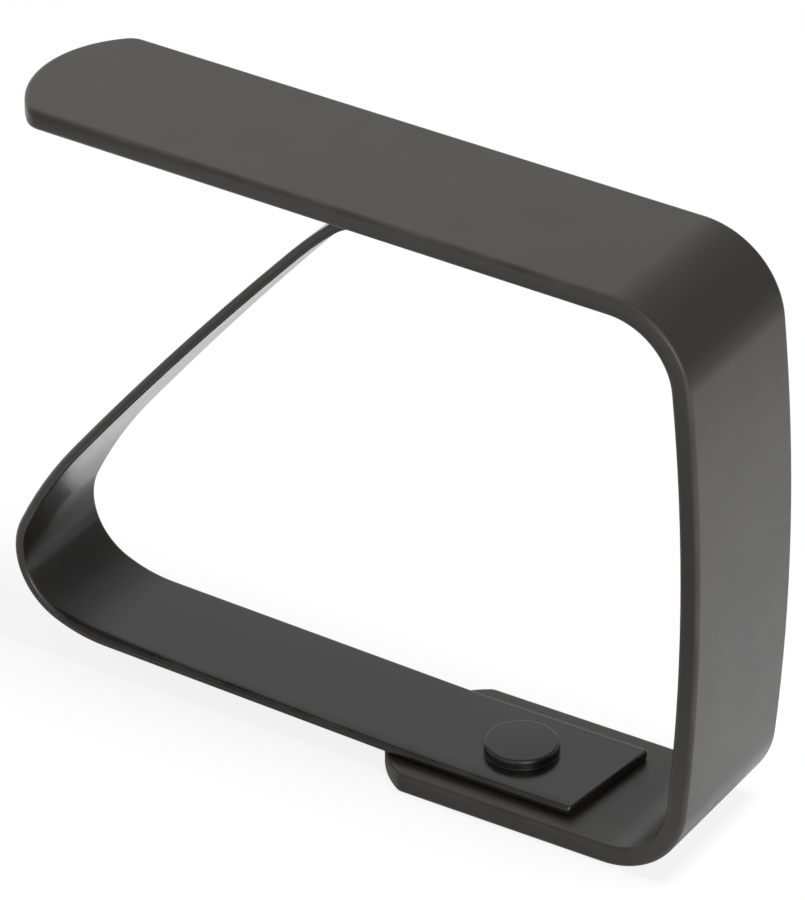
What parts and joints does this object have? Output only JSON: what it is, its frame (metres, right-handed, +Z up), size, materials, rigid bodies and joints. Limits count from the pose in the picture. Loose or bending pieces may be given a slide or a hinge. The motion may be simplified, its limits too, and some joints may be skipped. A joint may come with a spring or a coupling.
{
  "type": "tablecloth clip",
  "caption": "Bent flat-strip clip that hooks over a table's edge, with a riveted leaf spring inside that presses a tablecloth against the table top.",
  "frame": {"origin": "on the surface the flange stands on, under the middle of the clip's length and width", "axes": "+Z up, +X from the open mouth to the web at the back, +Y across the strip"},
  "size_m": [0.0528, 0.012, 0.0423],
  "materials": {
    "frame_coat": "satin dark grey coat on steel strip",
    "spring_coat": "satin dark grey coat on spring steel",
    "rivet_coat": "satin dark grey coat on the rivet"
  },
  "bodies": {
    "frame": {"clip_frame": "frame_coat", "rivet": "rivet_coat", "spring_base": "spring_coat"},
    "arm": {"spring_arm": "spring_coat"}
  },
  "joints": [
    {"name": "spring_flex", "type": "hinge", "parent": "frame", "child": "arm", "pos_m": [-0.02572, 0, 0.00602], "axis": [0, 1, 0], "range_deg": [0, 35], "stiffness_Nm_per_rad": 1, "springref_deg": -4.58}
  ]
}
